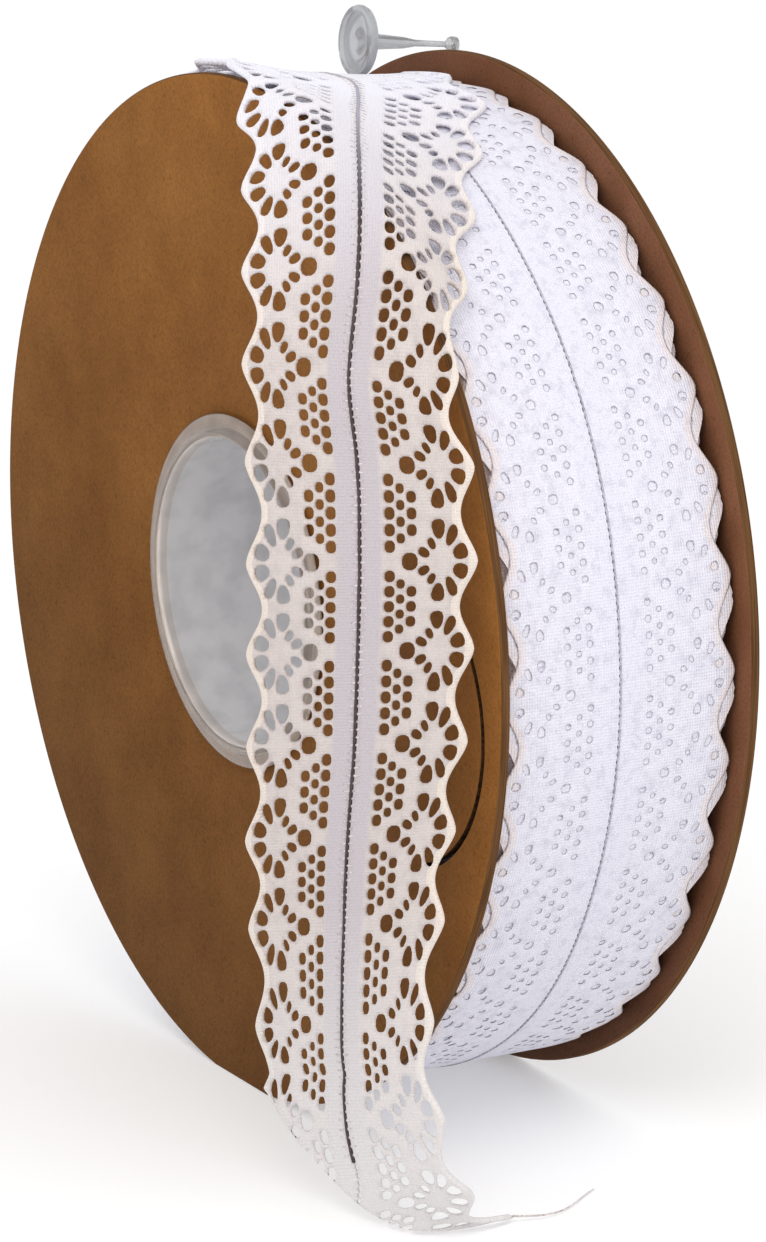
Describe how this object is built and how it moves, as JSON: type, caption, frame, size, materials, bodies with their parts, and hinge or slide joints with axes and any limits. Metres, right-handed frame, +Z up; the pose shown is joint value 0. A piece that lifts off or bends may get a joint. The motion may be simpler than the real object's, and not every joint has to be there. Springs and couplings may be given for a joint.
{
  "type": "spool of lace-edged ribbon",
  "caption": "Two kraft board discs on a clear tubular core, wound with white scalloped lace whose loose end crosses the rim and hangs down to the surface.",
  "frame": {"origin": "on the surface the spool stands on, at the centre of the part's bounding box seen from above", "axes": "+X along the spool's axis, out of the front disc; +Y level across the discs, towards the side where the loose end lands; +Z up"},
  "size_m": [0.0662, 0.1536, 0.1562],
  "materials": {
    "kraft_board": "matt brown kraft board with fine fibres",
    "clear_plastic": "translucent, slightly frosted",
    "wound_lace": "matt white openwork lace, wound in many turns",
    "loose_lace": "matt off-white openwork lace, one layer"
  },
  "bodies": {
    "root": {"flange_front": "kraft_board", "flange_back": "kraft_board", "hub_core": "clear_plastic", "lace_roll": "wound_lace", "loose_end": "loose_lace", "end_pin": "clear_plastic"}
  },
  "joints": []
}
